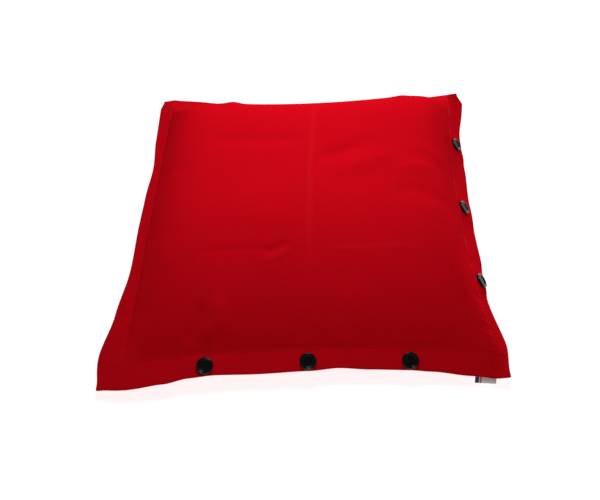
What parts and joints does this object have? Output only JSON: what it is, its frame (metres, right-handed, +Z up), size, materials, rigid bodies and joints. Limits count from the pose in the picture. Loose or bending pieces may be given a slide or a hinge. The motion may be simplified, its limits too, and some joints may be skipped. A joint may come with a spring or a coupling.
{
  "type": "fire blanket",
  "caption": "Square cushion-type fire blanket of coated fabric over a soft pad, sewn along one side and closed by press studs along the others.",
  "frame": {"origin": "on the floor, at the centre of the underside's bounding box", "axes": "+Z up, -Y towards the front hem with the side label, -X towards the sewn side"},
  "size_m": [0.379, 0.3868, 0.0785],
  "materials": {
    "red_fabric": "woven glass fabric with a satin silicone coating",
    "black_gloss": "gloss black",
    "plated_metal": "nickel plated",
    "label_tape": "woven tape",
    "pad_cotton": "plain woven cotton",
    "pad_wadding": "soft fibre"
  },
  "bodies": {
    "base": {"bottom_panel": "red_fabric", "left_hem": "red_fabric", "side_label": "label_tape", "pad_case_bottom": "pad_cotton", "pad_case_top": "pad_cotton", "pad_filling": "pad_wadding", "front_1_stud": "plated_metal", "front_1_post": "plated_metal", "front_2_stud": "plated_metal", "front_2_post": "plated_metal", "front_3_stud": "plated_metal", "front_3_post": "plated_metal", "right_1_stud": "plated_metal", "right_1_post": "plated_metal", "right_2_stud": "plated_metal", "right_2_post": "plated_metal", "right_3_stud": "plated_metal", "right_3_post": "plated_metal", "back_1_stud": "plated_metal", "back_1_post": "plated_metal", "back_2_stud": "plated_metal", "back_2_post": "plated_metal", "back_3_stud": "plated_metal", "back_3_post": "plated_metal"},
    "cover": {"top_panel": "red_fabric", "front_1_cap": "black_gloss", "front_1_socket": "plated_metal", "front_1_spring": "plated_metal", "front_2_cap": "black_gloss", "front_2_socket": "plated_metal", "front_2_spring": "plated_metal", "front_3_cap": "black_gloss", "front_3_socket": "plated_metal", "front_3_spring": "plated_metal", "right_1_cap": "black_gloss", "right_1_socket": "plated_metal", "right_1_spring": "plated_metal", "right_2_cap": "black_gloss", "right_2_socket": "plated_metal", "right_2_spring": "plated_metal", "right_3_cap": "black_gloss", "right_3_socket": "plated_metal", "right_3_spring": "plated_metal", "back_1_cap": "black_gloss", "back_1_socket": "plated_metal", "back_1_spring": "plated_metal", "back_2_cap": "black_gloss", "back_2_socket": "plated_metal", "back_2_spring": "plated_metal", "back_3_cap": "black_gloss", "back_3_socket": "plated_metal", "back_3_spring": "plated_metal"}
  },
  "joints": [
    {"name": "cover_open", "type": "hinge", "parent": "base", "child": "cover", "pos_m": [-0.1665, 0, 0.0203], "axis": [0, -0.9998, -0.0199], "range_deg": [0, 105], "deforming": ["front_1_spring", "front_2_spring", "front_3_spring", "right_1_spring", "right_2_spring", "right_3_spring", "back_1_spring", "back_2_spring", "back_3_spring"]}
  ]
}
